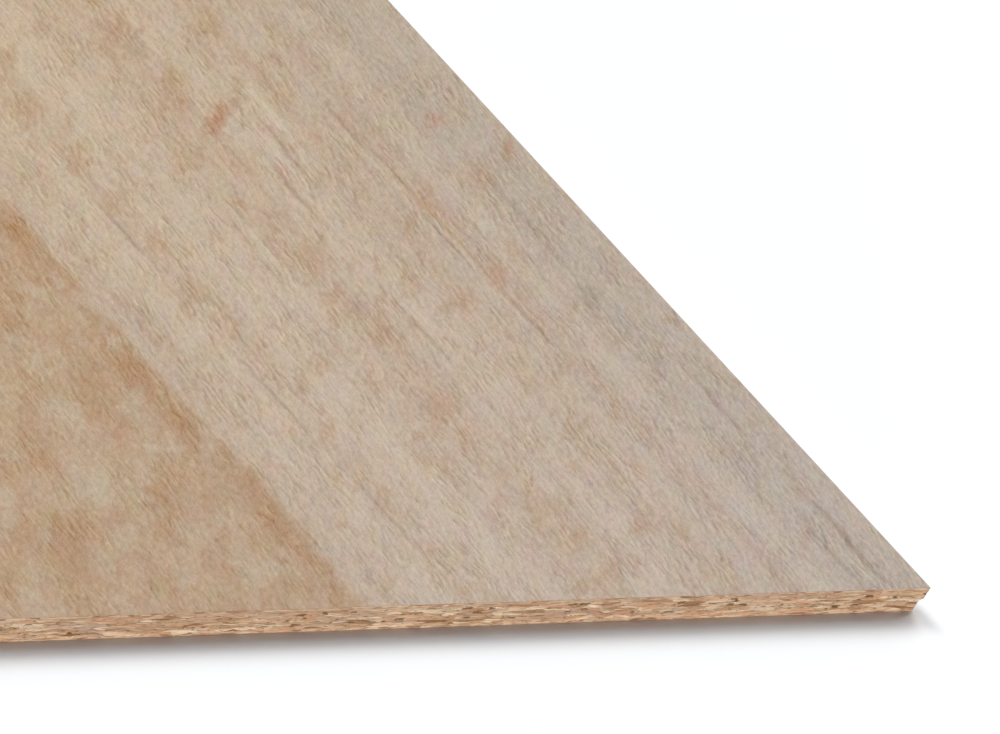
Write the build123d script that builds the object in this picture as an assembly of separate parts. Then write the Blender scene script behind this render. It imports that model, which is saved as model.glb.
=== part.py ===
from build123d import *
import os

# A sheet of melamine faced chipboard, lying flat as it is stored.
# The frame's origin is the middle of the underside. +X runs across the sheet,
# +Y along its length and along the printed grain, and +Z is up.
# All sizes are in millimetres.

# Driving dimensions of the sheet
sheet_width = 1220.0
sheet_length = 2440.0
board_thickness = 18.0
face_thickness = 0.2

# Driving dimensions of the broken corner: it is broken out of the lower part
# of the upright arris where the front edge meets the right edge
break_along_front = 3.6
break_along_side = 2.2
break_height = 9.5
break_wall_height = 7.0

# Levels and edges that follow from them
underside_level = 0.0
core_underside = underside_level + face_thickness
core_top = underside_level + board_thickness - face_thickness
core_thickness = core_top - core_underside
right_edge = sheet_width / 2
front_edge = -sheet_length / 2


def sheet_layer(level, thickness):
    """A full-size rectangular layer of the sheet that stands on a level."""
    outline = Plane.XY.offset(level) * Rectangle(sheet_width, sheet_length)
    return extrude(outline, thickness)


def broken_out_corner():
    """What has broken away: a wedge of the corner under a sloping roof.

    Its plan is a right triangle in the sheet's corner. Its wall is upright up
    to the wall height, and from there the roof rises to the arris.
    """
    front_end = (right_edge - break_along_front, front_edge)
    side_end = (right_edge, front_edge + break_along_side)
    corner = (right_edge, front_edge)
    plan = make_face(Polyline(corner, front_end, side_end, close=True))
    wedge = extrude(Plane.XY.offset(underside_level) * plan, break_height)
    wall_middle = Vector(
        (front_end[0] + side_end[0]) / 2,
        (front_end[1] + side_end[1]) / 2,
        underside_level + break_wall_height,
    )
    roof_top = Vector(right_edge, front_edge, underside_level + break_height)
    along_wall = Vector(*side_end, 0) - Vector(*front_end, 0)
    roof_normal = along_wall.cross(roof_top - wall_middle).normalized()
    if roof_normal.Z < 0:
        roof_normal = -roof_normal
    roof = Plane(origin=roof_top, x_dir=along_wall, z_dir=roof_normal)
    return split(wedge, bisect_by=roof, keep=Keep.BOTTOM)


def chipboard_core():
    """The pressed chipboard, without its broken corner."""
    return sheet_layer(core_underside, core_thickness) - broken_out_corner()


def melamine_face_bottom():
    """The underside's resin paper, which broke away with the corner."""
    return sheet_layer(underside_level, face_thickness) - broken_out_corner()


def melamine_face_top():
    """The upper side's resin paper, whole up to its corners."""
    return sheet_layer(core_top, face_thickness)


pieces = {
    "chipboard_core": chipboard_core(),
    "melamine_face_bottom": melamine_face_bottom(),
    "melamine_face_top": melamine_face_top(),
}

os.makedirs("parts", exist_ok=True)
for name, piece in pieces.items():
    export_step(piece, "parts/" + name + ".step")
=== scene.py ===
"""The looks of a melamine faced chipboard sheet that lies flat on a pale studio floor.

The sheet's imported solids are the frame. This script dresses its printed and embossed resin
paper faces, builds the chipboard's sawn and chipped outer wall, and adds the camera, the
lamps and the floor. Lengths that end in _mm are millimetres; Blender's own are metres.
"""

from __future__ import annotations

import logging
import math
from dataclasses import dataclass
from enum import Enum

import bpy
import numpy as np
from mathutils import Matrix, Vector


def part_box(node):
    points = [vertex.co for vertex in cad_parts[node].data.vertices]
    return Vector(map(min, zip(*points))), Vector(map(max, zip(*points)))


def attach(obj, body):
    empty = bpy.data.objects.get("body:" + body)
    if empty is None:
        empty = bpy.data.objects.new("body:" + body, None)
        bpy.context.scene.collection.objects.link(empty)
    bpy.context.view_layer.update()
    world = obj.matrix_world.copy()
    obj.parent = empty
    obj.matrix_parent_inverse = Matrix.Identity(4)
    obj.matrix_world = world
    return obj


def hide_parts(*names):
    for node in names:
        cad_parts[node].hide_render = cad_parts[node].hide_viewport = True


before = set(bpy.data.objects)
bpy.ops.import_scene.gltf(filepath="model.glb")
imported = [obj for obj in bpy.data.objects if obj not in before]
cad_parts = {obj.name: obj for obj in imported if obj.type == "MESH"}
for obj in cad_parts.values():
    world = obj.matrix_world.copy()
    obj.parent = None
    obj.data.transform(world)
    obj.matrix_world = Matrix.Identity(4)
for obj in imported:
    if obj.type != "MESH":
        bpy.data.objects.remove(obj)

log = logging.getLogger("melamine_board")

Socket = bpy.types.NodeSocket

MM = 0.001
BODY = "root"

# A Mix node's settings, and its sockets for what lies under, what lies over it and the result
COLOUR_MIX = {"data_type": "RGBA"}
UNDER, OVER, MIXED = 6, 7, 2
NUMBER_MIX = {"data_type": "FLOAT"}
NUMBER_UNDER, NUMBER_OVER = 2, 3

# Settings of other nodes that come often
PLUS = {"operation": "ADD"}
TIMES = {"operation": "MULTIPLY"}
TIMES_PLUS = {"operation": "MULTIPLY_ADD"}
LARGER = {"operation": "MAXIMUM"}
SMOOTH = {"interpolation_type": "SMOOTHSTEP"}
FLAT_NOISE = {"noise_dimensions": "2D"}

# The attribute of the shell's vertices that says how far each lies in a void, 0 to 1, which sets the painted
# shade there
HOLLOW = "hollow"


class MaterialSlot(Enum):
    """The record's material slots."""

    CHIPBOARD = "chipboard"
    DECOR = "melamine_decor"


def linear(hex_colour: str) -> tuple[float, float, float, float]:
    """Turns an sRGB hex colour into a linear one.

    Args:
        hex_colour: six hex digits, such as "C8B49A".

    Returns:
        Red, green, blue and an alpha of 1, linear.
    """
    channels = [int(hex_colour[i : i + 2], 16) / 255 for i in (0, 2, 4)]
    return (*(c / 12.92 if c <= 0.04045 else ((c + 0.055) / 1.055) ** 2.4 for c in channels), 1.0)


class NodeTree:
    """A material's or a world's nodes, with the one function that adds a node."""

    def __init__(self, owner: bpy.types.Material | bpy.types.World) -> None:
        """Empties the owner's node tree and keeps it.

        Args:
            owner: the material or world that the nodes belong to.
        """
        owner.use_nodes = True
        self.tree = owner.node_tree
        self.tree.nodes.clear()

    def add(
        self, kind: str, settings: dict | None = None, links: dict | None = None, output: int | str = 0
    ) -> Socket | None:
        """Adds a node, sets it up and links what feeds it.

        Args:
            kind: the node's type, without its "ShaderNode" prefix.
            settings: values by attribute name, or by input name or number. The key "stops"
                holds a colour ramp's places and sRGB hex colours.
            links: the sockets that feed the node, by input name or number.
            output: the name or number of the output to return.

        Returns:
            The chosen output socket, or None for a node that has no outputs.
        """
        node = self.tree.nodes.new("ShaderNode" + kind)
        for key, value in (settings or {}).items():
            if key == "stops":
                ramp = node.color_ramp.elements
                ramp.remove(ramp[1])
                for place, _ in value[1:]:
                    ramp.new(place)
                for stop, (place, colour) in zip(ramp, value):
                    stop.position = place
                    stop.color = linear(colour)
            elif isinstance(key, str) and hasattr(node, key):
                setattr(node, key, value)
            else:
                node.inputs[key].default_value = value
        for key, source in (links or {}).items():
            self.tree.links.new(source, node.inputs[key])
        return node.outputs[output] if len(node.outputs) else None


@dataclass(frozen=True)
class Marks:
    """Soft marks of the print in one colour and one slant, placed in the sheet's plane.

    Attributes:
        colour: sRGB hex colour that they tend to.
        turn_deg: direction of their length, counter-clockwise from +X.
        slimness: length over width.
        places: for each mark the x and y of its middle and its width out to where it has faded
            away, in millimetres, and how much of the colour it has in its middle, 0 to 1.
    """

    colour: str
    turn_deg: float
    slimness: float
    places: tuple[tuple[float, float, float, float], ...]

    def lay(self, nodes: NodeTree, place: Socket, colour: Socket) -> Socket:
        """Lays the marks over a colour. Where two meet, the stronger one shows.

        Args:
            nodes: the material's nodes.
            place: where the print is read, in millimetres.
            colour: the colour underneath.

        Returns:
            The colour with the marks on it.
        """
        add = nodes.add
        turn = math.radians(self.turn_deg)
        slant = {"vector_type": "TEXTURE", "Rotation": (0, 0, turn), "Scale": (self.slimness, 1, 1)}
        slanted = add("Mapping", slant, {"Vector": place})
        share = None
        for x, y, width, strength in self.places:
            along = x * math.cos(turn) + y * math.sin(turn)
            across = y * math.cos(turn) - x * math.sin(turn)
            middle = {"operation": "DISTANCE", 1: (along / self.slimness, across, 0)}
            away = add("VectorMath", middle, {0: slanted}, "Value")
            fade = {**SMOOTH, "From Min": width / 2, "From Max": 0.0, "To Max": strength}
            mark = add("MapRange", fade, {"Value": away})
            share = mark if share is None else add("Math", LARGER, {0: share, 1: mark})
        return add("Mix", {**COLOUR_MIX, OVER: linear(self.colour)}, {0: share, UNDER: colour}, MIXED)


@dataclass(frozen=True)
class Streaks:
    """A cloudy pattern that is drawn out in one direction of the sheet.

    Attributes:
        length_mm, width_mm: usual size of its forms along their direction and across it.
        turn_deg: that direction, counter-clockwise from +X.
        low, high: levels of the noise where a form starts and is full. With high under low, the
            forms are the noise's dips.
        detail: how many finer layers it has.
        shift_mm: moves the pattern, so that two like ones differ.
        roughness: strength of each layer against the coarser one before it.
    """

    length_mm: float
    width_mm: float
    turn_deg: float
    low: float = 0.0
    high: float = 1.0
    detail: float = 3.0
    shift_mm: float = 0.0
    roughness: float = 0.5

    def noise(self, nodes: NodeTree, place: Socket, output: str = "Fac") -> Socket:
        """Draws the bare noise.

        Args:
            nodes: the material's nodes.
            place: where the pattern is read, in millimetres.
            output: "Fac" for one value or "Color" for three.

        Returns:
            The noise, about 0.5 on average.
        """
        drawn_out = {
            "vector_type": "TEXTURE",
            "Location": (self.shift_mm, self.shift_mm, 0),
            "Rotation": (0, 0, math.radians(self.turn_deg)),
            "Scale": (self.length_mm, self.width_mm, 1),
        }
        own_place = nodes.add("Mapping", drawn_out, {"Vector": place})
        layers = {**FLAT_NOISE, "Scale": 1.0, "Detail": self.detail, "Roughness": self.roughness}
        return nodes.add("TexNoise", layers, {"Vector": own_place}, output)

    def draw(self, nodes: NodeTree, place: Socket, full: float = 1.0) -> Socket:
        """Draws the pattern's forms.

        Args:
            nodes: the material's nodes.
            place: where the pattern is read, in millimetres.
            full: value in the middle of a form.

        Returns:
            0 between the forms, and the full value in them.
        """
        forms = {**SMOOTH, "From Min": self.low, "From Max": self.high, "To Max": full}
        return nodes.add("MapRange", forms, {"Value": self.noise(nodes, place)})


@dataclass(frozen=True)
class MelamineDecor:
    """Printed decor paper soaked in melamine resin, pressed against an embossed plate.

    The eye sees a bleached wood print under a satin skin: broad leaves side by side, growth bands along them,
    small tan flecks across them, and short soft pores pressed in drifts.
    Towards the corner in view the print carries a painted sheen, and its pores and creases carry painted
    shade and painted highlights.

    Attributes:
        ray_deg: direction of the flecks that cross the grain.
        leaf_joint_mm: x of the joint in view, with the pale leaf on its right.
        joint_shade_mm: how far the warm leaf is browner beside a joint.
        lip_highlight_offset_mm: distance from a pore to its pale lip, a painted highlight.
        sheen_from_mm, sheen_over_mm: where the painted sheen starts to turn the print greyer, and over what
            lengths.
        sheen_change: change of red, green and blue where the painted sheen is full.
        sheen_least: least share of that change, negative where the print turns warmer away from the sheen.
        tint_least, tint_span: least factors of the small drifts of tint, and how much they vary.
        stroke_tone_and_shade: red, green and blue that a full stroke adds or takes away, partly print tone
            and partly painted shade and highlight of the relief.
        stroke_level: keeps the print as light with the strokes as without.
        satin: roughness of the skin, from the smooth places to the ones with deep pores.
    """

    name: str = "melamine_resin_decor_paper"
    pale: str = "B8A186"
    light: str = "C0AC92"
    tan: str = "A78763"
    pink_tan: str = "A98467"
    rust: str = "9E6C48"
    streak: str = "A38C74"
    grey: str = "A1917C"
    dark: str = "866850"
    warm: str = "AC8F6E"
    warm_dark: str = "9D764E"
    warm_light: str = "B29E82"
    cut_edge: str = "BE9A7A"
    grain_deg: float = 90.0
    ray_deg: float = 36.0
    leaf_joint_mm: float = 97.5
    leaf_width_mm: float = 560.0
    joint_blur_mm: float = 20.0
    joint_shade_mm: float = 44.0
    relief_mm: float = 0.20
    lip_highlight_offset_mm: float = 2.3
    sheen_from_mm: tuple[float, float] = (200.0, -760.0)
    sheen_over_mm: tuple[float, float] = (950.0, 600.0)
    sheen_change: tuple[float, float, float] = (-0.045, 0.010, 0.20)
    sheen_least: float = -0.3
    tint_least: tuple[float, float, float] = (0.910, 0.930, 0.846)
    tint_span: tuple[float, float, float] = (0.15, 0.11, 0.24)
    stroke_tone_and_shade: tuple[float, float, float] = (0.33, 0.28, 0.23)
    stroke_level: float = -0.413
    satin: tuple[float, float] = (0.45, 0.56)
    ior: float = 1.5

    def bands(self) -> list[Marks]:
        """Lists the growth bands of the pale leaf, which run the length of the sheet."""
        grain, endless = self.grain_deg, 5000.0
        light_bands = ((160, 0, 70, 0.25), (240, 0, 80, 0.35), (380, 0, 50, 0.15), (510, 0, 30, 0.25))
        return [
            Marks(self.grey, grain, endless, ((600, 0, 500, 0.45),)),
            Marks(self.streak, grain, endless, ((115, 0, 60, 0.2),)),
            Marks(self.tan, grain, endless, ((195, 0, 45, 0.12), (320, 0, 80, 0.28), (430, 0, 60, 0.26))),
            Marks(self.pink_tan, grain, endless, ((480, 0, 35, 0.24),)),
            Marks(self.grey, grain, endless, ((550, 0, 50, 0.4), (580, 0, 45, 0.2))),
            Marks(self.light, grain, endless, light_bands),
        ]

    def lines(self) -> list[Marks]:
        """Lists the thin growth lines, streaks and rust flecks near the corner in view."""
        dark_lines = (
            (470, -840, 5, 0.8), (470, -975, 6, 0.6), (465, -790, 7, 0.6), (460, -905, 6, 0.5),
            (390, -815, 7, 0.55), (365, -850, 8, 0.6), (365, -980, 8, 0.55), (180, -880, 8, 0.5),
            (180, -1035, 8, 0.45), (185, -1150, 8, 0.45), (570, -1050, 10, 0.5), (575, -1170, 10, 0.6),
            (550, -1185, 9, 0.5), (550, -875, 13, 0.4),
        )
        light_lines = (
            (405, -780, 17, 0.9), (380, -825, 12, 0.9), (290, -905, 18, 0.7), (430, -1115, 16, 0.7),
        )
        return [
            Marks(self.tan, self.grain_deg, 30, ((470, -870, 11, 0.9),)),
            Marks(self.dark, 89, 13, dark_lines),
            Marks(self.light, 84, 7, light_lines),
            Marks(self.rust, 40, 4.5, ((355, -785, 17, 0.9), (595, -815, 11, 0.6))),
        ]

    def flecks(self) -> list[Marks]:
        """Lists the flecks across the grain and the blotches near the corner in view."""
        tan_flecks = (
            (420, -730, 12, 0.5), (400, -755, 14, 0.7), (380, -770, 13, 0.8), (330, -800, 13, 0.8),
            (310, -815, 14, 0.8), (285, -825, 13, 0.6), (270, -700, 12, 0.8), (220, -725, 16, 0.7),
            (220, -785, 13, 0.7), (200, -815, 16, 0.6), (190, -905, 12, 0.6), (200, -975, 11, 0.7),
            (215, -1025, 14, 0.7), (195, -1065, 14, 0.7), (415, -1030, 13, 0.7), (275, -1075, 12, 0.7),
            (335, -1165, 13, 0.8),
        )
        tan_blotches = (
            (195, -770, 35, 0.7), (350, -745, 30, 0.65), (425, -700, 32, 0.55), (195, -860, 25, 0.7),
            (340, -830, 28, 0.5), (330, -910, 32, 0.65), (190, -940, 28, 0.65), (245, -1010, 25, 0.5),
            (545, -840, 32, 0.65), (335, -1140, 28, 0.5), (340, -1195, 32, 0.55),
        )
        pink_blotches = (
            (335, -705, 32, 0.65), (335, -770, 26, 0.7), (430, -750, 20, 0.55), (330, -870, 30, 0.5),
            (325, -980, 25, 0.65), (550, -790, 24, 0.7), (515, -910, 22, 0.65), (480, -930, 28, 0.8),
            (475, -865, 32, 0.55), (315, -1045, 35, 0.8), (425, -950, 25, 0.55), (405, -1155, 25, 0.65),
        )
        dark_flecks = ((340, -720, 18, 0.4), (130, -960, 16, 0.4), (325, -955, 20, 0.5), (545, -950, 21, 0.4))
        brown_clouds = (
            (75, -1060, 34, 0.8), (75, -1010, 34, 0.8), (90, -1110, 28, 0.8), (85, -1150, 34, 0.7),
            (90, -875, 34, 0.7), (-115, -1165, 46, 0.9), (30, -1020, 38, 0.7),
        )
        return [
            Marks(self.tan, self.ray_deg, 4.5, tan_flecks),
            Marks(self.tan, self.ray_deg, 2.1, tan_blotches),
            Marks(self.pink_tan, 38, 2.1, pink_blotches),
            Marks(self.dark, 42, 2.8, dark_flecks),
            Marks(self.warm_dark, 50, 2.0, brown_clouds),
            Marks(self.warm_light, 30, 2.2, ((-20, -1045, 36, 0.8), (-50, -1110, 56, 0.6))),
        ]

    def build(self) -> bpy.types.Material:
        """Makes the material.

        Returns:
            The new material.
        """
        material = bpy.data.materials.new(self.name)
        nodes = NodeTree(material)
        add = nodes.add
        place = add("TexCoord", output="Object")
        flat = add("VectorMath", {**TIMES, 1: (1 / MM, 1 / MM, 0)}, {0: place})

        # The grain wavers slowly, and blotches have ragged rims, so patterns read shifted places
        grain = self.shifted(nodes, flat, flat, size_mm=60, detail=1.0, reach_mm=5)
        grain = self.shifted(nodes, flat, grain, size_mm=14, detail=2.0, reach_mm=2.5)
        ragged = self.shifted(nodes, flat, grain, size_mm=9, detail=3.0, reach_mm=6)

        warm_leaf, nearness = self.leaves(nodes, grain)
        pale = self.pale_leaf(nodes, grain, ragged)
        for band in self.bands():
            pale = band.lay(nodes, grain, pale)
        warm = self.warm_leaf(nodes, ragged, nearness)
        base = add("Mix", COLOUR_MIX, {0: warm_leaf, UNDER: pale, OVER: warm}, MIXED)
        for line in self.lines():
            base = line.lay(nodes, grain, base)
        for fleck in self.flecks():
            base = fleck.lay(nodes, ragged, base)

        # Small drifts of tint, red, green and blue each by themselves
        tint = Streaks(30, 13, 40, detail=1.5, shift_mm=300).noise(nodes, grain, "Color")
        tint = add("VectorMath", {**TIMES_PLUS, 1: self.tint_span, 2: self.tint_least}, {0: tint})
        base = add("VectorMath", TIMES, {0: base, 1: tint})
        # Painted sheen: the print is turned greyer and bluer towards the corner in view
        base = self.painted_sheen(nodes, flat, base)

        # The strokes add the same near-grey to every tone, or take it away: partly print, partly painted
        # shade in pores and creases and painted highlights on their lips
        height, change, drift = self.strokes(nodes, flat, grain, warm_leaf)
        colour = add("VectorMath", {**TIMES_PLUS, 0: self.stroke_tone_and_shade}, {1: change, 2: base})

        # The paper's own cut edge shows as a thin brown line where the sheet was sawn, which is
        # where its surface neither faces up nor down
        facing = add("NewGeometry", output="True Normal")
        facing = add("SeparateXYZ", None, {0: facing}, "Z")
        facing = add("Math", {"operation": "ABSOLUTE"}, {0: facing})
        sawn = add("MapRange", {"From Min": 0.5, "From Max": 0.4}, {"Value": facing})
        colour = add("Mix", {**COLOUR_MIX, OVER: linear(self.cut_edge)}, {0: sawn, UNDER: colour}, MIXED)

        relief = add("Bump", {"Distance": self.relief_mm * MM}, {"Height": height})
        smooth, rough = self.satin
        roughness = add("MapRange", {"To Min": smooth, "To Max": rough}, {"Value": drift})
        looks = {"Base Color": colour, "Normal": relief, "Roughness": roughness}
        surface = add("BsdfPrincipled", {"IOR": self.ior}, looks)
        add("OutputMaterial", None, {"Surface": surface})
        return material

    def shifted(
        self, nodes: NodeTree, flat: Socket, place: Socket, size_mm: float, detail: float, reach_mm: float
    ) -> Socket:
        """Shifts places by a cloudy amount.

        Args:
            nodes: the material's nodes.
            flat: the place on the sheet, in millimetres.
            place: the place to shift, in millimetres.
            size_mm: usual size of the clouds.
            detail: how many finer layers they have.
            reach_mm: greatest shift.

        Returns:
            The shifted place.
        """
        clouds = {**FLAT_NOISE, "Scale": 1 / size_mm, "Detail": detail, "Roughness": 0.6}
        shift = nodes.add("TexNoise", clouds, {"Vector": flat}, "Color")
        swing = {**TIMES_PLUS, 1: (2 * reach_mm, 2 * reach_mm, 0), 2: (-reach_mm, -reach_mm, 0)}
        shift = nodes.add("VectorMath", swing, {0: shift})
        return nodes.add("VectorMath", PLUS, {0: place, 1: shift})

    def painted_sheen(self, nodes: NodeTree, flat: Socket, colour: Socket) -> Socket:
        """Paints a sheen: the print turns slowly greyer and bluer towards the corner in view.

        The share is (x - x0) / reach_x + (y0 - y) / reach_y, kept between sheen_least and 1.

        Args:
            nodes: the material's nodes.
            flat: the place on the sheet, in millimetres.
            colour: the print's colour.

        Returns:
            The colour, with less red and more blue under the painted sheen.
        """
        (x, y), (reach_x, reach_y) = self.sheen_from_mm, self.sheen_over_mm
        off = nodes.add("VectorMath", {"operation": "SUBTRACT", 1: (x, y, 0)}, {0: flat})
        share = {"operation": "DOT_PRODUCT", 1: (1 / reach_x, -1 / reach_y, 0)}
        share = nodes.add("VectorMath", share, {0: off}, "Value")
        kept = {"From Min": self.sheen_least, "To Min": self.sheen_least}
        share = nodes.add("MapRange", kept, {"Value": share})
        change = nodes.add("VectorMath", {"operation": "SCALE", 0: self.sheen_change}, {"Scale": share})
        factor = nodes.add("VectorMath", {**PLUS, 1: (1, 1, 1)}, {0: change})
        return nodes.add("VectorMath", TIMES, {0: colour, 1: factor})

    def leaves(self, nodes: NodeTree, place: Socket) -> tuple[Socket, Socket]:
        """Lays the leaves side by side, every second one warm, with a soft joint.

        The warm leaves are where the sine of pi times the leaf's number is negative.

        Args:
            nodes: the material's nodes.
            place: where the print is read, in millimetres.

        Returns:
            1 on the warm leaves and 0 on the pale ones, and that sine's size, which is 0 at a
            joint.
        """
        add = nodes.add
        across = add("SeparateXYZ", None, {0: place}, "X")
        turn = math.pi / self.leaf_width_mm
        count = {**TIMES_PLUS, 1: turn, 2: -turn * self.leaf_joint_mm}
        number = add("Math", count, {0: across})
        swing = add("Math", {"operation": "SINE"}, {0: number})
        blur = turn * self.joint_blur_mm / 2
        warm = add("MapRange", {**SMOOTH, "From Min": blur, "From Max": -blur}, {"Value": swing})
        return warm, add("Math", {"operation": "ABSOLUTE"}, {0: swing})

    def pale_leaf(self, nodes: NodeTree, grain: Socket, ragged: Socket) -> Socket:
        """Draws the bleached leaf: soft streaks along the grain, and tan flecks in clusters.

        Args:
            nodes: the material's nodes.
            grain: the wavering place, in millimetres.
            ragged: the ragged place, in millimetres.

        Returns:
            The leaf's colour.
        """
        add = nodes.add
        streak = Streaks(130, 10, 86, low=0.34, high=0.74, detail=2.5, shift_mm=120).draw(nodes, grain, 0.45)
        gleam = Streaks(90, 8, 85, low=0.54, high=0.78, detail=2.0, shift_mm=350).draw(nodes, grain, 0.4)
        cluster = Streaks(130, 60, 45, low=0.40, high=0.60, detail=1.5, shift_mm=260).draw(nodes, grain)
        ray = Streaks(44, 11, self.ray_deg, low=0.52, high=0.70, detail=2.0).draw(nodes, ragged, 0.5)
        ray = add("Math", TIMES, {0: ray, 1: cluster})
        spot = Streaks(26, 12, 42, low=0.54, high=0.74, detail=2.0, shift_mm=33).draw(nodes, ragged, 0.4)
        tones = {UNDER: linear(self.pale), OVER: linear(self.streak)}
        colour = add("Mix", {**COLOUR_MIX, **tones}, {0: streak}, MIXED)
        for share, tone in ((gleam, self.light), (ray, self.tan), (spot, self.pink_tan)):
            colour = add("Mix", {**COLOUR_MIX, OVER: linear(tone)}, {0: share, UNDER: colour}, MIXED)
        return colour

    def warm_leaf(self, nodes: NodeTree, ragged: Socket, nearness: Socket) -> Socket:
        """Draws the darker tan leaf: brown blotches, thickest beside the joint, and bleached ones.

        Args:
            nodes: the material's nodes.
            ragged: the ragged place, in millimetres.
            nearness: 0 at the joint, rising away from it.

        Returns:
            The leaf's colour.
        """
        add = nodes.add
        cloud = Streaks(56, 28, 45, low=0.40, high=0.66, detail=2.5, shift_mm=210).draw(nodes, ragged, 0.45)
        fleck = Streaks(22, 10, 48, low=0.50, high=0.72, detail=2.5, shift_mm=90).draw(nodes, ragged, 0.45)
        bleach = Streaks(46, 24, 38, low=0.48, high=0.72, detail=2.5, shift_mm=170).draw(nodes, ragged, 0.5)
        edge = math.sin(math.pi * self.joint_shade_mm / self.leaf_width_mm)
        shade = {**SMOOTH, "From Min": edge, "From Max": edge / 5}
        shade = add("MapRange", shade, {"Value": nearness})
        blotch = Streaks(24, 12, 60, low=0.36, high=0.62, detail=2.0, shift_mm=510).draw(nodes, ragged, 0.75)
        shade = add("Math", TIMES, {0: shade, 1: blotch})
        tones = {UNDER: linear(self.warm), OVER: linear(self.warm_dark)}
        colour = add("Mix", {**COLOUR_MIX, **tones}, {0: cloud}, MIXED)
        for share, tone in ((bleach, self.warm_light), (fleck, self.warm_dark), (shade, self.warm_dark)):
            colour = add("Mix", {**COLOUR_MIX, OVER: linear(tone)}, {0: share, UNDER: colour}, MIXED)
        return colour

    def strokes(
        self, nodes: NodeTree, flat: Socket, grain: Socket, warm_leaf: Socket
    ) -> tuple[Socket, Socket, Socket]:
        """Draws the pressed pores, each with a pale lip on its left as a painted highlight, over creases and
        a stipple.

        Pores and creases are 0.6 + 0.6 drift deep, and 0.2 less on a warm leaf. The height is
        crease + 0.3 stipple - 0.4 pore, and the change of tone is a weighted sum of the same
        strokes and of a coarser dapple. Besides print, that change is painted shade in the pores and creases
        and painted highlight on the lips and the raised stipple.

        Args:
            nodes: the material's nodes.
            flat: the place on the sheet, in millimetres.
            grain: the wavering place, in millimetres.
            warm_leaf: 1 on the warm leaves and 0 on the pale ones.

        Returns:
            The height of the surface, the share by which the colour gets lighter or darker as print and as
            painted relief shade and highlight, and where the pores are deep, from 0 to 1.
        """
        add = nodes.add
        drift = Streaks(50, 24, 60, low=0.42, high=0.62, detail=1.5, shift_mm=400).draw(nodes, flat)
        deep = add("Math", {**TIMES_PLUS, 1: 0.6, 2: 0.6}, {0: drift})
        deep = add("Math", {**TIMES_PLUS, 1: -0.2}, {0: warm_leaf, 2: deep})
        pores = Streaks(11, 2.6, 77, low=0.50, high=0.32, detail=1.0, shift_mm=222)
        pore = add("Math", TIMES, {0: pores.draw(nodes, grain), 1: deep})
        # Painted highlight: a pale lip beside each pore, where its relief would catch the light
        beside = add("VectorMath", {**PLUS, 1: (self.lip_highlight_offset_mm, 0, 0)}, {0: grain})
        lip_highlight = add("Math", TIMES, {0: pores.draw(nodes, beside), 1: deep})
        stipple = Streaks(2.6, 0.9, 45, detail=1.0, shift_mm=65).noise(nodes, flat)
        dapple = Streaks(7, 2.9, 40, detail=1.0, shift_mm=165).noise(nodes, flat)
        crease = Streaks(12, 4.0, 72, detail=1.0, shift_mm=15).noise(nodes, grain)
        crease = add("Math", {"operation": "SUBTRACT", 1: 0.5}, {0: crease})
        crease = add("Math", TIMES, {0: crease, 1: deep})
        height = add("Math", {**TIMES_PLUS, 1: 0.3}, {0: stipple, 2: crease})
        height = add("Math", {**TIMES_PLUS, 1: -0.4}, {0: pore, 2: height})
        # Painted shade and highlight: darker in the pores and creases, lighter on the lips and raised
        # stipple, over the print's own dapple
        change = add("Math", {**TIMES_PLUS, 1: 0.38, 2: self.stroke_level}, {0: stipple})
        for part, weight in ((dapple, 0.40), (crease, 0.38), (pore, -0.17), (lip_highlight, 0.12)):
            change = add("Math", {**TIMES_PLUS, 1: weight}, {0: part, 2: change})
        return height, change, drift


@dataclass(frozen=True)
class FlakeSize:
    """One size of wood flake in the sawn chipboard.

    Attributes:
        length_mm, height_mm: usual length of a flake along the sheet, and its thickness.
        shift_mm: moves the pattern, so that the sizes differ.
    """

    length_mm: float
    height_mm: float
    shift_mm: float

    def draw(
        self, nodes: NodeTree, wall: Socket, ramp: tuple[tuple[float, str], ...]
    ) -> tuple[Socket, Socket, Socket]:
        """Draws flakes that fill the wall, each in one tone.

        Args:
            nodes: the material's nodes.
            wall: place along the wall and up it, in millimetres.
            ramp: the flakes' tones, as places from 0 to 1 and sRGB hex colours.

        Returns:
            The flakes' colour, three random numbers for each flake, and 0 to 1 from a flake's
            rim inwards.
        """
        add = nodes.add
        drawn_out = {
            "vector_type": "TEXTURE",
            "Location": (self.shift_mm, self.shift_mm, 0),
            "Scale": (self.length_mm, self.height_mm, 1),
        }
        own_place = add("Mapping", drawn_out, {"Vector": wall})
        flake = {"voronoi_dimensions": "2D", "Scale": 1.0}
        lot = add("TexVoronoi", {**flake, "feature": "F1"}, {"Vector": own_place}, "Color")
        edge = add("TexVoronoi", {**flake, "feature": "DISTANCE_TO_EDGE"}, {"Vector": own_place}, "Distance")
        tone = add("SeparateColor", None, {0: lot}, "Red")
        colour = add("ValToRGB", {"stops": ramp}, {0: tone})
        rim = add("MapRange", {"From Max": 0.12}, {"Value": edge})
        return colour, lot, rim


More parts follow.
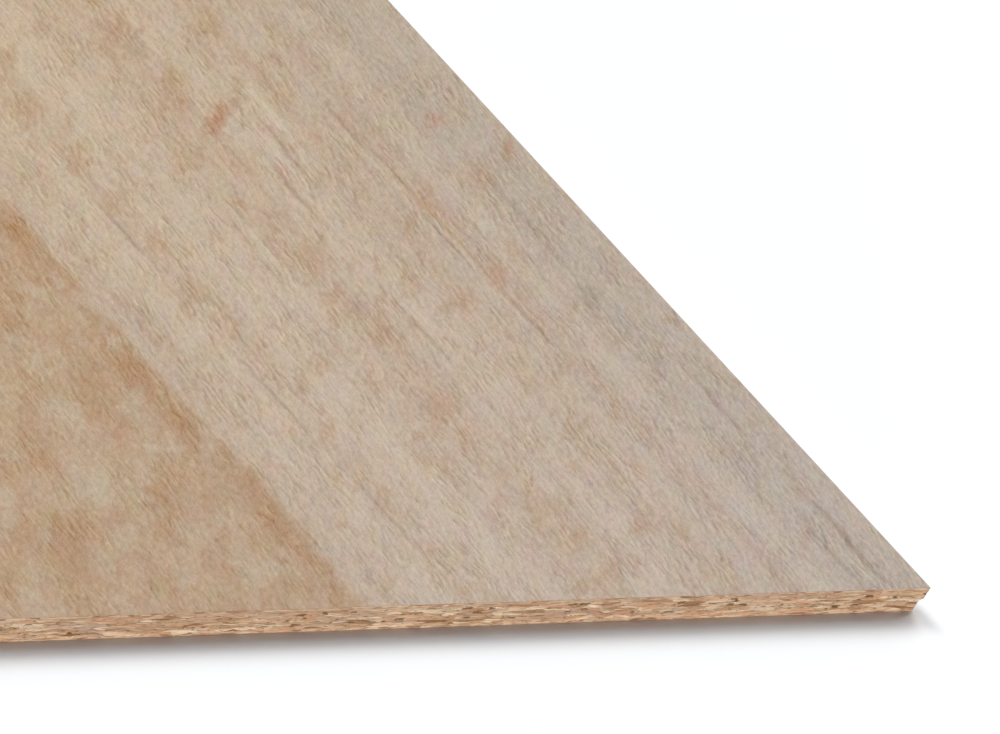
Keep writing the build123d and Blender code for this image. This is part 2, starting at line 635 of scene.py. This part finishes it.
@dataclass(frozen=True)
class PressedChipboard:
    """Wood chips pressed with resin and then sawn, bare and dry.

    The eye sees matt flakes laid flat, each in its own tan, with dark gaps between them, and
    denser, redder chip dust close under both faces. The gaps' darkness is painted shade, and the lower part
    is painted lighter as painted light.

    Attributes:
        coarse, medium, fine: the sizes of its flakes, and of the chip dust.
        bend_size_mm, bend_reach_mm: how long and how big the bends in the flakes' lines are.
        dust_from_mm, dust_full_mm: distances from the middle where the dust starts and is all.
        dust_ragged_mm: how far that border wanders.
        painted_light_below_mm: height under which the flakes are painted lighter, standing in for light.
    """

    name: str = "sawn_pressed_chipboard"
    tones: tuple[tuple[float, str], ...] = (
        (0.00, "93683F"), (0.10, "B58B64"), (0.26, "CDA57F"), (0.42, "C4A288"),
        (0.56, "DDBC97"), (0.72, "D09A73"), (0.86, "EACFAE"),
    )
    dust_tones: tuple[tuple[float, str], ...] = (
        (0.00, "96684A"), (0.20, "BA8E70"), (0.45, "D0A986"), (0.75, "DFC09F"),
    )
    void_shade: str = "6E5030"
    dense_layer: str = "B58D6E"
    coarse: FlakeSize = FlakeSize(26.0, 2.1, 3.0)
    medium: FlakeSize = FlakeSize(14.0, 1.3, 11.0)
    fine: FlakeSize = FlakeSize(7.5, 0.95, 29.0)
    bend_size_mm: float = 16.0
    bend_reach_mm: tuple[float, float] = (4.0, 0.9)
    middle_height_mm: float = 9.0
    dust_from_mm: float = 8.0
    dust_full_mm: float = 8.7
    dust_ragged_mm: float = 2.4
    painted_light_below_mm: float = 6.0
    relief_mm: float = 0.25
    roughness: float = 0.9
    ior: float = 1.5

    def build(self) -> bpy.types.Material:
        """Makes the material.

        Returns:
            The new material.
        """
        material = bpy.data.materials.new(self.name)
        nodes = NodeTree(material)
        add = nodes.add

        # Place along the wall is x + y, which runs on smoothly round each square corner
        place = add("TexCoord", output="Object")
        place = add("VectorMath", {**TIMES, 1: (1 / MM,) * 3}, {0: place})
        x = add("SeparateXYZ", None, {0: place}, "X")
        y, z = (x.node.outputs[axis] for axis in "YZ")
        along = add("Math", PLUS, {0: x, 1: y})
        wall = add("CombineXYZ", None, {0: along, 1: z})
        bends = {**FLAT_NOISE, "Scale": 1 / self.bend_size_mm, "Detail": 2.0}
        bend = add("TexNoise", bends, {"Vector": wall}, "Color")
        far, high = self.bend_reach_mm
        sway = {**TIMES_PLUS, 1: (2 * far, 2 * high, 0), 2: (-far, -high, 0)}
        sway = add("VectorMath", sway, {0: bend})
        wall = add("VectorMath", PLUS, {0: wall, 1: sway})

        # About half of the medium flakes lie over the coarse ones, by their lot
        coarse, coarse_lot, coarse_rim = self.coarse.draw(nodes, wall, self.tones)
        medium, medium_lot, medium_rim = self.medium.draw(nodes, wall, self.tones)
        dust, dust_lot, dust_rim = self.fine.draw(nodes, wall, self.dust_tones)
        pick = add("SeparateColor", None, {0: medium_lot}, "Green")
        pick = add("Math", {"operation": "GREATER_THAN", 1: 0.5}, {0: pick})
        colour = add("Mix", COLOUR_MIX, {0: pick, UNDER: coarse, OVER: medium}, MIXED)
        lot = add("Mix", COLOUR_MIX, {0: pick, UNDER: coarse_lot, OVER: medium_lot}, MIXED)
        rim = add("Mix", NUMBER_MIX, {0: pick, NUMBER_UNDER: coarse_rim, NUMBER_OVER: medium_rim})

        # Chip dust packs tight near both faces
        off_middle = add("Math", {"operation": "SUBTRACT", 1: self.middle_height_mm}, {0: z})
        off_middle = add("Math", {"operation": "ABSOLUTE"}, {0: off_middle})
        ragged = Streaks(9, 3, 0, detail=2.0, shift_mm=77).noise(nodes, wall)
        skin = add("Math", {**TIMES_PLUS, 1: self.dust_ragged_mm}, {0: ragged, 2: off_middle})
        dusty = {"From Min": self.dust_from_mm, "From Max": self.dust_full_mm}
        skin = add("MapRange", dusty, {"Value": skin})
        colour = add("Mix", COLOUR_MIX, {0: skin, UNDER: colour, OVER: dust}, MIXED)
        lot = add("Mix", COLOUR_MIX, {0: skin, UNDER: lot, OVER: dust_lot}, MIXED)
        rim = add("Mix", NUMBER_MIX, {0: skin, NUMBER_UNDER: rim, NUMBER_OVER: dust_rim})

        # A denser, redder layer comes up from z = 13 mm and ends in the dust, at 16.8 mm
        rising = add("MapRange", {"From Min": 13.0, "From Max": 15.5, "To Max": 0.4}, {"Value": z})
        fading = add("MapRange", {"From Min": 16.8, "From Max": 16.0}, {"Value": z})
        dense = add("Math", TIMES, {0: rising, 1: fading})
        colour = add("Mix", {**COLOUR_MIX, OVER: linear(self.dense_layer)}, {0: dense, UNDER: colour}, MIXED)

        # Painted light: the lower part of the section is painted paler, making up for the light it lacks
        # beside the shaded floor
        painted_light_below = {"From Min": self.painted_light_below_mm, "From Max": 0.5, "To Min": 1.0, "To Max": 1.4}
        painted_light_below = add("MapRange", painted_light_below, {"Value": z})
        colour = add("VectorMath", {"operation": "SCALE"}, {0: colour, "Scale": painted_light_below})

        # Fibres run along each flake, and its rim is torn and darker
        fibre = Streaks(9, 0.6, 0, detail=2.0, shift_mm=5).noise(nodes, wall)
        shade = {"From Min": 0.25, "From Max": 0.75, "To Min": 0.76, "To Max": 1.22}
        shade = add("MapRange", shade, {"Value": fibre})
        torn = add("MapRange", {"To Min": 0.86}, {"Value": rim})
        shade = add("Math", TIMES, {0: shade, 1: torn})
        colour = add("VectorMath", {"operation": "SCALE"}, {0: colour, "Scale": shade})

        # Painted shade in the gaps: the shell's hollows, with a crumbled rim, and pores of the middle layer
        # are painted dark
        hollow = add("Attribute", {"attribute_name": HOLLOW}, output="Fac")
        crumbs = Streaks(3.5, 1.0, 0, detail=2.0, shift_mm=190).noise(nodes, wall)
        hollow = add("Math", {**TIMES_PLUS, 1: 1.4}, {0: crumbs, 2: hollow})
        hollow = add("MapRange", {"From Min": 1.0, "From Max": 1.7, "To Max": 0.9}, {"Value": hollow})
        pore = Streaks(5.5, 1.1, 0, low=0.36, high=0.25, detail=2.0, shift_mm=140).draw(nodes, wall, 0.8)
        middle = add("MapRange", {"From Min": 8.0, "From Max": 6.0}, {"Value": off_middle})
        pore = add("Math", TIMES, {0: pore, 1: middle})
        void_shade = add("Math", LARGER, {0: hollow, 1: pore})
        colour = add("Mix", {**COLOUR_MIX, OVER: linear(self.void_shade)}, {0: void_shade, UNDER: colour}, MIXED)

        stand = add("SeparateColor", None, {0: lot}, "Blue")
        height = add("Math", TIMES, {0: stand, 1: rim})
        height = add("Math", {**TIMES_PLUS, 1: 0.4}, {0: fibre, 2: height})
        relief = add("Bump", {"Distance": self.relief_mm * MM}, {"Height": height})
        matt = {"Roughness": self.roughness, "IOR": self.ior}
        surface = add("BsdfPrincipled", matt, {"Base Color": colour, "Normal": relief})
        add("OutputMaterial", None, {"Surface": surface})
        return material


@dataclass(frozen=True)
class Pockets:
    """One size of pocket in the sawn wall, scattered over a jittered grid.

    Attributes:
        pitch_along_mm, pitch_up_mm: width and height of a grid cell.
        half_length_mm, half_height_mm: usual half length and half height of a pocket.
        depth_mm: greatest depth of a pocket.
        share: how many of the cells have one, 0 to 1.
        margin_mm: least distance of a pocket's middle from either face.
        seed: seed of the random draws.
        lean, steepness: spread of the slopes that pockets lie at, and how fast their sides fall.
    """

    pitch_along_mm: float
    pitch_up_mm: float
    half_length_mm: float
    half_height_mm: float
    depth_mm: float
    share: float
    margin_mm: float
    seed: int
    lean: float = 0.14
    steepness: float = 2.2

    def sink(self, along: np.ndarray, up: np.ndarray, thickness: float) -> np.ndarray:
        """Works out how deep the pockets are at each place of the wall.

        A pocket is an ellipse (du/a)^2 + (dv/b)^2 < 1 that leans a little, with steep sides
        and a flat bottom. Its middle keeps a tenth of the cell from the cell's sides. A place
        looks at its own cell and the eight around it, and the deepest pocket counts.

        Args:
            along: distance along the edge, in millimetres.
            up: height above the core's underside, in millimetres.
            thickness: the core's thickness, in millimetres.

        Returns:
            Depth in millimetres.
        """
        depth = np.zeros(along.shape)
        columns = int(along.max() / self.pitch_along_mm) + 4
        lines = int(thickness / self.pitch_up_mm) + 5
        draws = np.random.default_rng(self.seed).random((columns, lines, 7))
        cell_u = np.floor(along / self.pitch_along_mm).astype(int)
        cell_v = np.floor(up / self.pitch_up_mm).astype(int)
        for step_u in (-1, 0, 1):
            for step_v in (-1, 0, 1):
                draw = draws[
                    np.clip(cell_u + step_u + 1, 0, columns - 1),
                    np.clip(cell_v + step_v + 2, 0, lines - 1),
                ]
                middle_u = (cell_u + step_u + 0.1 + 0.8 * draw[..., 0]) * self.pitch_along_mm
                middle_v = (cell_v + step_v + 0.1 + 0.8 * draw[..., 1]) * self.pitch_up_mm
                du = along - middle_u
                dv = up - middle_v - self.lean * (draw[..., 2] - 0.5) * du
                half_u = self.half_length_mm * (0.5 + draw[..., 3])
                half_v = self.half_height_mm * (0.5 + draw[..., 4])
                inside = 1 - (du / half_u) ** 2 - (dv / half_v) ** 2
                off_face = np.minimum(middle_v, thickness - middle_v)
                open_here = (draw[..., 5] < self.share) & (off_face > self.margin_mm)
                bottom = self.depth_mm * (0.4 + 0.6 * draw[..., 6]) * np.clip(self.steepness * inside, 0, 1)
                depth = np.where(open_here, np.maximum(depth, bottom), depth)
        return depth


@dataclass
class SawnCore:
    """The pressed chipboard as one closed shell with a chipped, sawn outer wall.

    Attributes:
        low, high: lowest and highest corner of the core's solid, in metres.
        fine_step_mm, coarse_step_mm: distance of the wall's columns in view, and elsewhere.
        fine_length_mm: how much of the front edge is in view, up to the broken corner.
        corner_reach_mm: side of the square at a corner that its columns share.
        calm_corner_mm: distance over which the hollows fade towards the broken corner.
        rim_depth_mm: greatest depth of the wall at both faces.
        full_hollow_mm: depth at which a void's painted shade is full.
        voids, steps: the gaps between flakes, and the flakes' own torn edges.
    """

    low: Vector
    high: Vector
    fine_step_mm: float = 0.6
    coarse_step_mm: float = 3.2
    fine_length_mm: float = 850.0
    rows: int = 27
    corner_reach_mm: float = 6.0
    corner_columns: int = 13
    calm_corner_mm: float = 14.0
    rim_depth_mm: float = 0.1
    full_hollow_mm: float = 0.6
    break_front_mm: float = 3.6
    break_side_mm: float = 2.2
    break_wall_mm: float = 7.0
    break_height_mm: float = 9.5
    voids: tuple[Pockets, ...] = (
        Pockets(17.0, 3.6, 4.6, 0.75, 1.6, 0.34, 3.4, 21),
        Pockets(9.0, 2.2, 2.4, 0.42, 0.9, 0.18, 2.2, 22),
    )
    steps: tuple[Pockets, ...] = (
        Pockets(12.0, 2.2, 7.5, 0.9, 0.20, 0.55, 0.8, 23),
        Pockets(6.0, 1.1, 3.4, 0.45, 0.12, 0.45, 0.4, 24),
    )

    def path(self) -> tuple[np.ndarray, np.ndarray, np.ndarray]:
        """Lays out the wall's columns around the sheet, counter-clockwise from above.

        Along a straight side a column's anchor lies corner_reach_mm inside the edge and it
        points straight out. Round a corner all columns share one anchor, and the reach to the
        square outline is corner_reach_mm over the larger of the direction's two parts.

        Returns:
            Anchors (n, 2) and outward directions (n, 2) and reaches (n), in millimetres.
        """
        reach = self.corner_reach_mm
        left, front = self.low.x / MM + reach, self.low.y / MM + reach
        right, back = self.high.x / MM - reach, self.high.y / MM - reach
        centres = [(right, front), (right, back), (left, back), (left, front)]
        front_edge = 3
        anchors, directions, reaches = [], [], []
        for number, centre in enumerate(centres):
            turn = np.radians(-90 + 90 * number + np.linspace(0, 90, self.corner_columns))
            out = np.stack([np.cos(turn), np.sin(turn)], 1)
            anchors.append(np.tile(centre, (len(turn), 1)))
            directions.append(out)
            reaches.append(reach / np.abs(out).max(1))
            following = np.array(centres[(number + 1) % 4])
            length = float(np.linalg.norm(following - centre))
            coarse, fine = self.coarse_step_mm, self.fine_step_mm
            if number == front_edge:
                seen_from = length - self.fine_length_mm
                unseen = np.arange(coarse, seen_from, coarse)
                along = np.concatenate([unseen, np.arange(seen_from, length - fine / 2, fine)])
            else:
                along = np.arange(coarse, length - coarse / 2, coarse)
            anchors.append(np.array(centre) + np.outer(along / length, following - centre))
            directions.append(np.tile(out[-1], (len(along), 1)))
            reaches.append(np.full(len(along), reach))
        return np.concatenate(anchors), np.concatenate(directions), np.concatenate(reaches)

    def build(self, material: bpy.types.Material) -> bpy.types.Object:
        """Makes the shell: the wall from a profile carried round the path, and two flat caps.

        A wall point is anchor + direction * (reach - depth) at its row's height. Towards the
        broken corner the depth fades to 0.15 of itself, so that the break stays crisp, and the
        reach is cut back to the line from break_front_mm to break_side_mm.

        Args:
            material: the chipboard's finish.

        Returns:
            The new object.
        """
        anchors, directions, reaches = self.path()
        count = len(anchors)
        outer = anchors + directions * reaches[:, None]
        gaps = np.linalg.norm(np.diff(outer, axis=0, append=outer[:1]), axis=1)
        along = np.concatenate([[0], np.cumsum(gaps)[:-1]])
        bottom, top = self.low.z / MM, self.high.z / MM
        heights = np.linspace(bottom, top, self.rows + 1)
        s, z = np.meshgrid(along, heights, indexing="ij")
        hollow = np.max([size.sink(s, z - bottom, top - bottom) for size in self.voids], axis=0)
        depth = hollow + np.max([size.sink(s, z - bottom, top - bottom) for size in self.steps], axis=0)
        depth[:, [0, -1]] = np.minimum(depth[:, [0, -1]], self.rim_depth_mm)
        from_corner = np.linalg.norm(outer - outer[self.corner_columns // 2], axis=1)
        depth *= np.clip(from_corner / self.calm_corner_mm - 0.3, 0.15, 1)[:, None]

        # Cut the broken corner back to its wall, in polar form about the corner's anchor. The wall
        # is upright to break_wall_mm, and slopes out to the whole edge at break_height_mm
        far = 1e9
        corner = anchors[0]
        wall_normal = np.array([self.break_side_mm, -self.break_front_mm])
        wall_normal /= np.linalg.norm(wall_normal)
        wall_start = np.array([self.high.x / MM - self.break_front_mm, self.low.y / MM])
        offset = wall_normal @ (wall_start - corner)
        facing = directions @ wall_normal
        at_corner = np.linalg.norm(anchors - corner, axis=1) < 1e-6
        wall_reach = np.where(at_corner & (facing > 0.1), offset / np.maximum(facing, 0.1), far)
        roof = np.clip((self.break_height_mm - heights) / (self.break_height_mm - self.break_wall_mm), 0, 1)
        full = reaches[:, None] - depth
        cut_back = reaches[:, None] + (wall_reach - reaches)[:, None] * roof[None, :]
        reach = np.where(wall_reach[:, None] < far, np.minimum(full, cut_back), full)

        points = np.empty((count, self.rows + 1, 3))
        points[..., :2] = anchors[:, None, :] + directions[:, None, :] * reach[..., None]
        points[..., 2] = heights[None, :]
        number = np.arange(count * (self.rows + 1)).reshape(count, self.rows + 1)
        following = np.roll(number, -1, axis=0)
        wall = np.stack([number[:, :-1], following[:, :-1], following[:, 1:], number[:, 1:]], -1)
        faces = wall.reshape(-1, 4).tolist() + [number[::-1, 0].tolist(), number[:, -1].tolist()]
        mesh = bpy.data.meshes.new("chipboard_core_sawn")
        mesh.from_pydata((points.reshape(-1, 3) * MM), [], faces)
        layer = mesh.attributes.new(HOLLOW, "FLOAT", "POINT")
        # How much painted shade each vertex of a void gets
        dark = np.clip(hollow / self.full_hollow_mm, 0, 1)
        layer.data.foreach_set("value", dark.reshape(-1).astype(np.float32))
        mesh.materials.append(material)
        smooth = np.ones(len(faces), bool)
        smooth[-2:] = False
        mesh.polygons.foreach_set("use_smooth", smooth)
        mesh.update()
        piece = bpy.data.objects.new("chipboard_core_sawn", mesh)
        bpy.context.scene.collection.objects.link(piece)
        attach(piece, BODY)
        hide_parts("chipboard_core")
        return piece


@dataclass(frozen=True)
class Lamp:
    """A broad, even lamp that is as good as infinitely far away.

    Attributes:
        name: the lamp's name.
        azimuth_deg, elevation_deg: where it stands, counter-clockwise from +X and upwards.
        strength: its irradiance, where pi lights a surface to the colour it is written in.
        spread_deg: how wide it looks from the sheet.
        shines: whether it shows in the satin skin, as a lamp behind a polarising sheet doesn't.
    """

    name: str
    azimuth_deg: float
    elevation_deg: float
    strength: float
    spread_deg: float
    shines: bool = True

    def hang(self) -> None:
        """Adds the lamp to the scene."""
        turn, tilt = math.radians(self.azimuth_deg), math.radians(self.elevation_deg)
        towards = Vector((math.cos(turn) * math.cos(tilt), math.sin(turn) * math.cos(tilt), math.sin(tilt)))
        data = bpy.data.lights.new(self.name, "SUN")
        data.energy = self.strength
        data.angle = math.radians(self.spread_deg)
        lamp = bpy.data.objects.new(self.name, data)
        lamp.rotation_mode = "QUATERNION"
        lamp.rotation_quaternion = towards.to_track_quat("Z", "Y")
        lamp.visible_glossy = self.shines
        bpy.context.scene.collection.objects.link(lamp)


@dataclass
class Studio:
    """The camera, lamps, floor and white surroundings.

    The view's angles and distance are fitted to the straight edges of the sheet in the
    photograph's 1000 x 734 frame. The lamps are fitted to the sheet's shadow, and add up to a
    white floor.

    Attributes:
        target_mm: the place on the upper face that the camera looks at.
        cool_fill: red, green and blue of the dim light from all round.
        floor_light, floor_seen: the floor's colour for the light it throws back, and as seen.
        floor_drop_mm: how far it lies under the sheet, so that the two don't flicker.
    """

    azimuth_deg: float = -57.732
    elevation_deg: float = 25.0425
    roll_deg: float = 32.507
    target_mm: tuple[float, float, float] = (404.53, -1012.97, 18.0)
    distance_mm: float = 16359.8
    lens_mm: float = 1000.0
    sensor_mm: float = 36.0
    clip_m: tuple[float, float] = (1.0, 200.0)
    lamps: tuple[Lamp, ...] = (
        Lamp("right_softbox", 37.0, 29.0, 2.96, 46.0, shines=False),
        Lamp("left_softbox", 112.0, 42.5, 1.3, 25.0),
        Lamp("high_softbox", 125.0, 56.0, 1.0, 52.0),
        Lamp("front_card", -130.0, 0.8, 2.95, 3.0),
    )
    cool_fill: tuple[float, float, float] = (0.004, 0.014, 0.035)
    floor_half_m: float = 40.0
    floor_drop_mm: float = 0.05
    floor_light: tuple[float, float, float] = (0.8, 0.8, 0.8)
    floor_seen: tuple[float, float, float] = (0.99, 1.0, 1.0)

    def camera(self) -> None:
        """Makes the camera and gives it to the scene."""
        turn, tilt, roll = (math.radians(v) for v in (self.azimuth_deg, self.elevation_deg, self.roll_deg))
        back = Vector((math.sin(turn) * math.cos(tilt), -math.cos(turn) * math.cos(tilt), math.sin(tilt)))
        right = Vector((math.cos(turn), math.sin(turn), 0))
        up = back.cross(right)
        right_rolled = right * math.cos(roll) + up * math.sin(roll)
        up_rolled = up * math.cos(roll) - right * math.sin(roll)
        data = bpy.data.cameras.new("long_lens")
        data.lens = self.lens_mm
        data.sensor_width = self.sensor_mm
        data.clip_start, data.clip_end = self.clip_m
        camera = bpy.data.objects.new("long_lens", data)
        turned = Matrix((right_rolled, up_rolled, back)).transposed().to_4x4()
        eye = Vector(self.target_mm) * MM + back * self.distance_mm * MM
        camera.matrix_world = Matrix.Translation(eye) @ turned
        bpy.context.scene.collection.objects.link(camera)
        bpy.context.scene.camera = camera

    def surroundings(self) -> None:
        """Makes a white world for the camera and for reflections, and a dim one for the light."""
        world = bpy.data.worlds.new("white_studio")
        bpy.context.scene.world = world
        nodes = NodeTree(world)
        add = nodes.add
        white = add("LightPath", output="Is Camera Ray")
        for ray in ("Is Glossy Ray", "Is Transmission Ray"):
            white = add("Math", LARGER, {0: white, 1: add("LightPath", output=ray)})
        fill = {**COLOUR_MIX, UNDER: (*self.cool_fill, 1), OVER: (1, 1, 1, 1)}
        light = add("Background", None, {"Color": add("Mix", fill, {0: white}, MIXED)})
        add("OutputWorld", None, {"Surface": light})

    def floor(self) -> None:
        """Makes the pale floor, which looks white wherever the sheet doesn't shade it."""
        half = self.floor_half_m
        mesh = bpy.data.meshes.new("studio_floor")
        level = -self.floor_drop_mm * MM
        corners = [(-half, -half, level), (half, -half, level), (half, half, level), (-half, half, level)]
        mesh.from_pydata(corners, [], [(0, 1, 2, 3)])
        material = bpy.data.materials.new("matt_white_floor_paint")
        nodes = NodeTree(material)
        add = nodes.add
        seen = add("LightPath", output="Is Camera Ray")
        whites = {**COLOUR_MIX, UNDER: (*self.floor_light, 1), OVER: (*self.floor_seen, 1)}
        colour = add("Mix", whites, {0: seen}, MIXED)
        surface = add("BsdfDiffuse", None, {"Color": colour})
        add("OutputMaterial", None, {"Surface": surface})
        mesh.materials.append(material)
        floor = bpy.data.objects.new("studio_floor", mesh)
        bpy.context.scene.collection.objects.link(floor)

    def build(self) -> None:
        """Sets up the whole studio."""
        self.camera()
        for lamp in self.lamps:
            lamp.hang()
        self.surroundings()
        self.floor()
        bpy.context.scene.view_settings.view_transform = "Standard"


def dress(node: str, material: bpy.types.Material, slot: MaterialSlot) -> None:
    """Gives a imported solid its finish.

    Args:
        node: the solid's node.
        material: its finish.
        slot: the slot that the record gives it.
    """
    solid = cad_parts[node]
    solid.data.materials.clear()
    solid.data.materials.append(material)
    log.info("%s, slot %s, dressed in %s", node, slot.value, material.name)


def main() -> None:
    """Builds the studio and the sheet."""
    logging.basicConfig(level=logging.INFO, format="%(name)s: %(message)s")
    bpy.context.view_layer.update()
    Studio().build()
    decor = MelamineDecor().build()
    chipboard = PressedChipboard().build()
    dress("melamine_face_top", decor, MaterialSlot.DECOR)
    dress("melamine_face_bottom", decor, MaterialSlot.DECOR)
    low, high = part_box("chipboard_core")
    core = SawnCore(low, high).build(chipboard)
    log.info("%s: %d faces", core.name, len(core.data.polygons))


if __name__ == "__main__":
    main()
